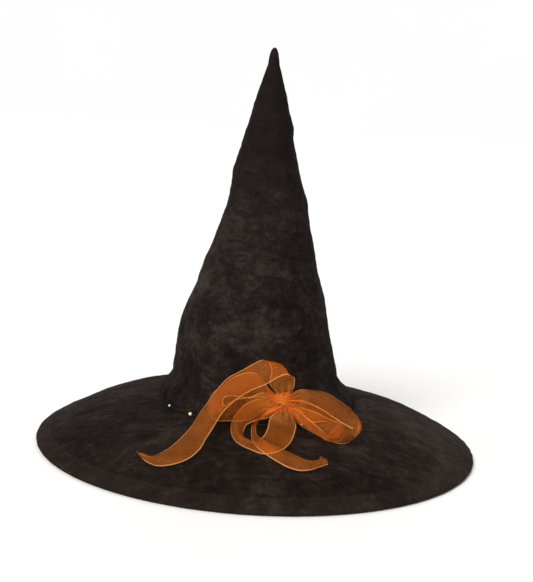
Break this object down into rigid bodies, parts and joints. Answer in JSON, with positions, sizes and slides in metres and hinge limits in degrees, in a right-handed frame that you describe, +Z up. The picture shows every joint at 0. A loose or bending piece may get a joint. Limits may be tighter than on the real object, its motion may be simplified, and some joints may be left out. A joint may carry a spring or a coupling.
{
  "type": "witch hat",
  "caption": "Pointed velvet costume hat with a tall cone crown, a wide wired brim and a sheer ribbon bow sewn to its front.",
  "frame": {"origin": "centre of the brim at the bottom of the rim, where the hat rests", "axes": "+Z up along the crown; the front of the hat, with the bow, faces -Y; +X is to the right seen from the front"},
  "size_m": [0.42, 0.42, 0.377],
  "materials": {
    "velvet": "crushed velvet with a mottled nap",
    "binding": "velvet strip folded over the rim",
    "stiffener": "fused buckram",
    "lining": "plain woven lining",
    "head_band": "grosgrain tape",
    "wire": "drawn wire",
    "ferrule": "crimped tube",
    "beads": "pearl lustre",
    "thread": "polyester sewing thread",
    "ribbon": "sheer organza with a satin edge"
  },
  "bodies": {
    "hat": {"crown_velvet": "velvet", "crown_stiffener": "stiffener", "crown_lining": "lining", "brim_top": "velvet", "brim_stiffener": "stiffener", "brim_underside": "velvet", "brim_binding": "binding", "brim_wire": "wire", "wire_ferrule": "ferrule", "head_band": "head_band", "seam_beads": "beads", "bead_thread": "thread", "bow_knot": "ribbon", "bow_tie_thread": "thread", "bow_stitches": "thread", "bow_loop_top": "ribbon", "bow_loop_left": "ribbon", "bow_loop_right_outer": "ribbon", "bow_loop_lower": "ribbon", "bow_loop_right_inner": "ribbon"},
    "left_tail": {"bow_tail_left": "ribbon"},
    "right_tail": {"bow_tail_right": "ribbon"}
  },
  "joints": [
    {"name": "left_tail_bend", "type": "hinge", "parent": "hat", "child": "left_tail", "pos_m": [0.0017, -0.10007, 0.0945], "axis": [-0.2164, 0.9763, 0], "range_deg": [0, 35]},
    {"name": "right_tail_bend", "type": "hinge", "parent": "hat", "child": "right_tail", "pos_m": [-0.00132, -0.15176, 0.03232], "axis": [-0.0083, -0.9515, -0.3074], "range_deg": [0, 35]}
  ]
}
